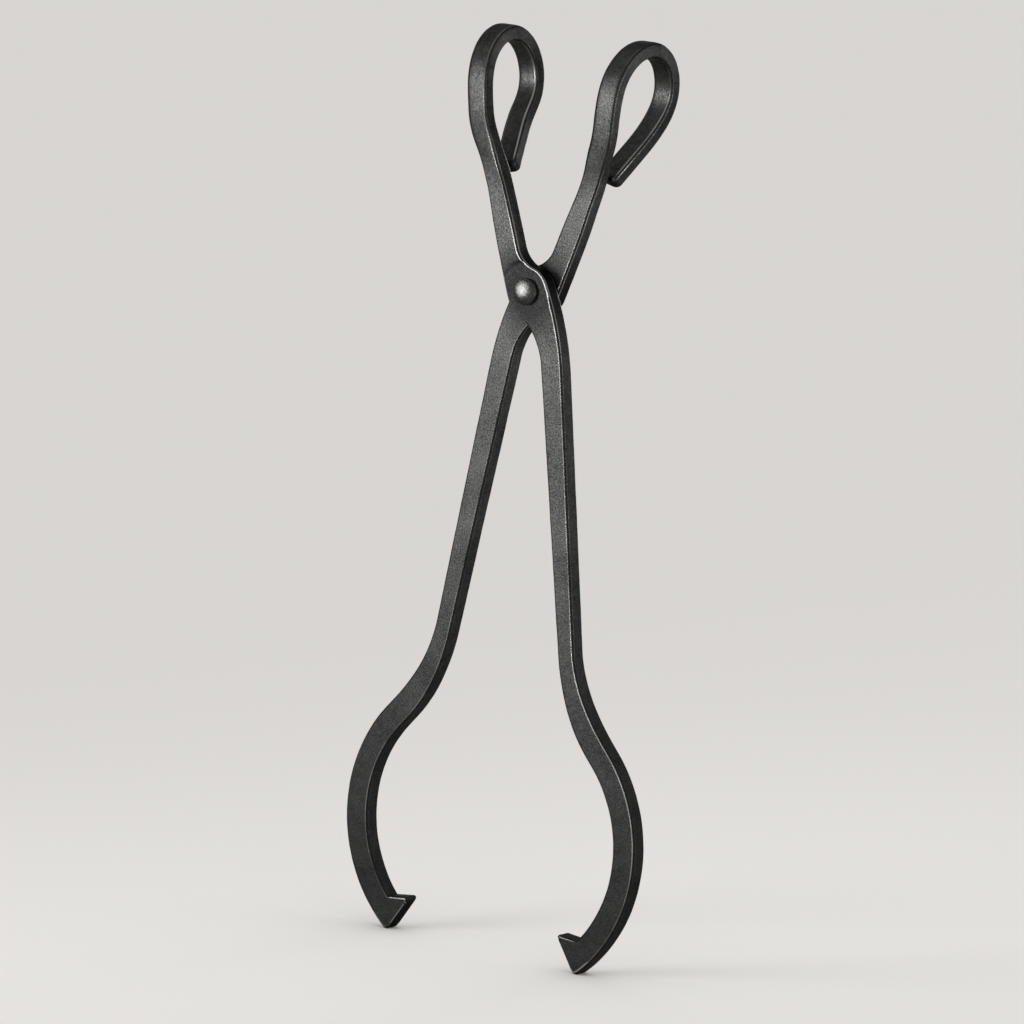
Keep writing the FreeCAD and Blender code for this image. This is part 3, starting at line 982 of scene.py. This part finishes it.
surround_level = (0.683, 0.667, 0.651, 1)
surround_overhead = (0.98, 0.965, 0.948, 1)
left_place = Vector((-0.74, -1.45, 0.82))
left_aim = Vector((0.0, 0.0, 0.88))
back_place = Vector((0.0, 1.63, 0.72))
back_aim = Vector((0.0, 0.0, 0.96))
front_place = Vector((0.2, -1.55, 0.42))
side_place = Vector((1.55, 0.3, 0.42))
strip_aim = Vector((0.0, 0.0, 0.66))
strip_size = (0.12, 0.76)
strip_beam = 26.0


def soft_lamp(name, place, aim, size, power, beam):
    """A flat lamp of a width and height, turned to a point, with a grid that narrows its beam."""
    lamp_data = bpy.data.lights.new(name, "AREA")
    lamp_data.shape = "RECTANGLE"
    lamp_data.size, lamp_data.size_y = size
    lamp_data.energy = power
    lamp_data.spread = math.radians(beam)
    lamp = bpy.data.objects.new(name, lamp_data)
    lamp.location = place
    lamp.rotation_euler = (aim - place).to_track_quat("-Z", "Y").to_euler()
    bpy.context.scene.collection.objects.link(lamp)


soft_lamp("left_lamp", left_place, left_aim, size=(0.7, 1.4), power=8.3, beam=54.0)
soft_lamp("back_lamp", back_place, back_aim, size=(0.7, 1.2), power=5.0, beam=46.0)
soft_lamp("front_strip", front_place, strip_aim, strip_size, power=0.7, beam=strip_beam)
soft_lamp("side_strip", side_place, strip_aim, strip_size, power=1.2, beam=strip_beam)

world = bpy.data.worlds.new("pale_surround")
world.use_nodes = True
sky = world.node_tree
direction = sky.nodes.new("ShaderNodeTexCoord")
rise = sky.nodes.new("ShaderNodeSeparateXYZ")
sky.links.new(direction.outputs["Generated"], rise.inputs["Vector"])
sky_tone = shaded(sky, rise.outputs["Z"], surround_level, surround_overhead, 0.0, 1.0)
sky.links.new(sky_tone, sky.nodes["Background"].inputs["Color"])
bpy.context.scene.world = world

# Camera
# The photograph's view: from the right and a little above, through a long lens.
# The picture is turned slightly on the camera's own axis.

view_turn = 33.32
view_height = 8.65
view_roll = -4.606
rivet_pixel = Vector((536.98, 290.48))
pixels_per_metre = 1663.9
focal_pixels = 8000.0
picture_pixels = 1024.0
film_width = 36.0
far_limit = 200.0

turn, height, roll = (math.radians(angle) for angle in (view_turn, view_height, view_roll))
toward = Vector((
    -math.sin(turn) * math.cos(height),
    math.cos(turn) * math.cos(height),
    -math.sin(height),
))
level_right = Vector((math.cos(turn), math.sin(turn), 0))
level_down = toward.cross(level_right)
view_right = level_right * math.cos(roll) + level_down * math.sin(roll)
view_down = level_down * math.cos(roll) - level_right * math.sin(roll)
distance = focal_pixels / pixels_per_metre
off_centre = (rivet_pixel - Vector((picture_pixels / 2, picture_pixels / 2))) / pixels_per_metre
eye_point = pivot - view_right * off_centre.x - view_down * off_centre.y - toward * distance
camera_data = bpy.data.cameras.new("photo_camera")
camera_data.sensor_width = film_width
camera_data.lens = film_width * focal_pixels / picture_pixels
camera_data.clip_end = far_limit
camera = bpy.data.objects.new("photo_camera", camera_data)
turned = Matrix((view_right, -view_down, -toward)).transposed().to_4x4()
camera.matrix_world = Matrix.Translation(eye_point) @ turned
bpy.context.scene.collection.objects.link(camera)
bpy.context.scene.camera = camera
bpy.context.scene.view_settings.view_transform = "Standard"
